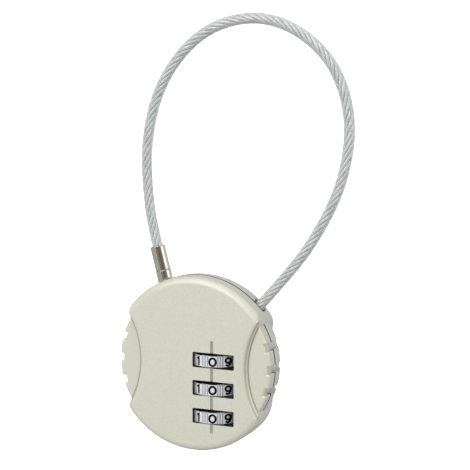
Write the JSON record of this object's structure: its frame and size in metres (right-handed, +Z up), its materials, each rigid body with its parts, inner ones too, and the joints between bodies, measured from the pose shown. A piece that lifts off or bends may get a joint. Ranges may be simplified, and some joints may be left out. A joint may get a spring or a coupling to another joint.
{
  "type": "cable luggage lock",
  "caption": "Round combination padlock with number dials and a flexible wire-rope shackle loop whose plug end pulls out of the rim.",
  "frame": {"origin": "centre of the round body, at half its thickness", "axes": "+Z up towards the cable loop, -Y out of the front face with the number windows, +X to the right seen from the front"},
  "size_m": [0.0614, 0.015, 0.1112],
  "materials": {
    "casing_pearl_nickel": "satin",
    "dial_silver": "satin",
    "brass_parts": "satin",
    "steel_parts": "satin",
    "spring_steel": "satin",
    "bright_nickel": "polished",
    "wire_rope_steel": "satin",
    "clear_sheath": "gloss"
  },
  "bodies": {
    "body": {"front_casing": "casing_pearl_nickel", "back_casing": "casing_pearl_nickel", "casing_pins": "steel_parts", "detent_spring": "spring_steel", "spindle_spring": "spring_steel", "reset_spring": "spring_steel", "anchor_ferrule": "bright_nickel", "wire_rope": "wire_rope_steel", "cable_sheath": "clear_sheath"},
    "dial_upper": {"number_dial_upper": "dial_silver"},
    "dial_middle": {"number_dial_middle": "dial_silver"},
    "dial_lower": {"number_dial_lower": "dial_silver"},
    "plug": {"locking_pin": "bright_nickel", "plug_ferrule": "bright_nickel"},
    "bolt": {"latch_bolt": "steel_parts"},
    "spindle": {"spindle": "steel_parts"},
    "reset": {"reset_button": "steel_parts"},
    "sleeve_upper": {"code_sleeve_upper": "brass_parts"},
    "sleeve_middle": {"code_sleeve_middle": "brass_parts"},
    "sleeve_lower": {"code_sleeve_lower": "brass_parts"}
  },
  "joints": [
    {"name": "dial_upper_turn", "type": "hinge", "parent": "body", "child": "dial_upper", "pos_m": [0.0042, -0.00095, 0], "axis": [0, 0, 1], "continuous": true, "deforming": ["detent_spring"]},
    {"name": "dial_middle_turn", "type": "hinge", "parent": "body", "child": "dial_middle", "pos_m": [0.0042, -0.00095, 0], "axis": [0, 0, 1], "continuous": true, "deforming": ["detent_spring"]},
    {"name": "dial_lower_turn", "type": "hinge", "parent": "body", "child": "dial_lower", "pos_m": [0.0042, -0.00095, 0], "axis": [0, 0, 1], "continuous": true, "deforming": ["detent_spring"]},
    {"name": "plug_slide", "type": "slide", "parent": "body", "child": "plug", "axis": [0.2551, 0, -0.9669], "range_m": [-0.013, 0], "deforming": ["cable_sheath", "wire_rope"]},
    {"name": "latch_bolt_slide", "type": "slide", "parent": "body", "child": "bolt", "axis": [1, 0, 0], "range_m": [0, 0.002]},
    {"name": "spindle_lift", "type": "slide", "parent": "body", "child": "spindle", "axis": [0, 0, 1], "range_m": [0, 0.00145], "deforming": ["spindle_spring"]},
    {"name": "reset_slide", "type": "slide", "parent": "body", "child": "reset", "axis": [0, 0, 1], "range_m": [0, 0.0015], "stiffness_N_per_m": 400, "springref_m": -0.001, "deforming": ["reset_spring"]},
    {"name": "sleeve_upper_shift", "type": "slide", "parent": "dial_upper", "child": "sleeve_upper", "axis": [0, 0, 1], "range_m": [0, 0.00155]},
    {"name": "sleeve_middle_shift", "type": "slide", "parent": "dial_middle", "child": "sleeve_middle", "axis": [0, 0, 1], "range_m": [0, 0.00155]},
    {"name": "sleeve_lower_shift", "type": "slide", "parent": "dial_lower", "child": "sleeve_lower", "axis": [0, 0, 1], "range_m": [0, 0.00155]}
  ],
  "couplings": [
    {"joint": "latch_bolt_slide", "follows": "plug_slide", "ratio": -0.15},
    {"joint": "spindle_lift", "follows": "plug_slide", "ratio": -0.1083},
    {"joint": "sleeve_upper_shift", "follows": "reset_slide", "ratio": 1},
    {"joint": "sleeve_middle_shift", "follows": "reset_slide", "ratio": 1},
    {"joint": "sleeve_lower_shift", "follows": "reset_slide", "ratio": 1}
  ]
}
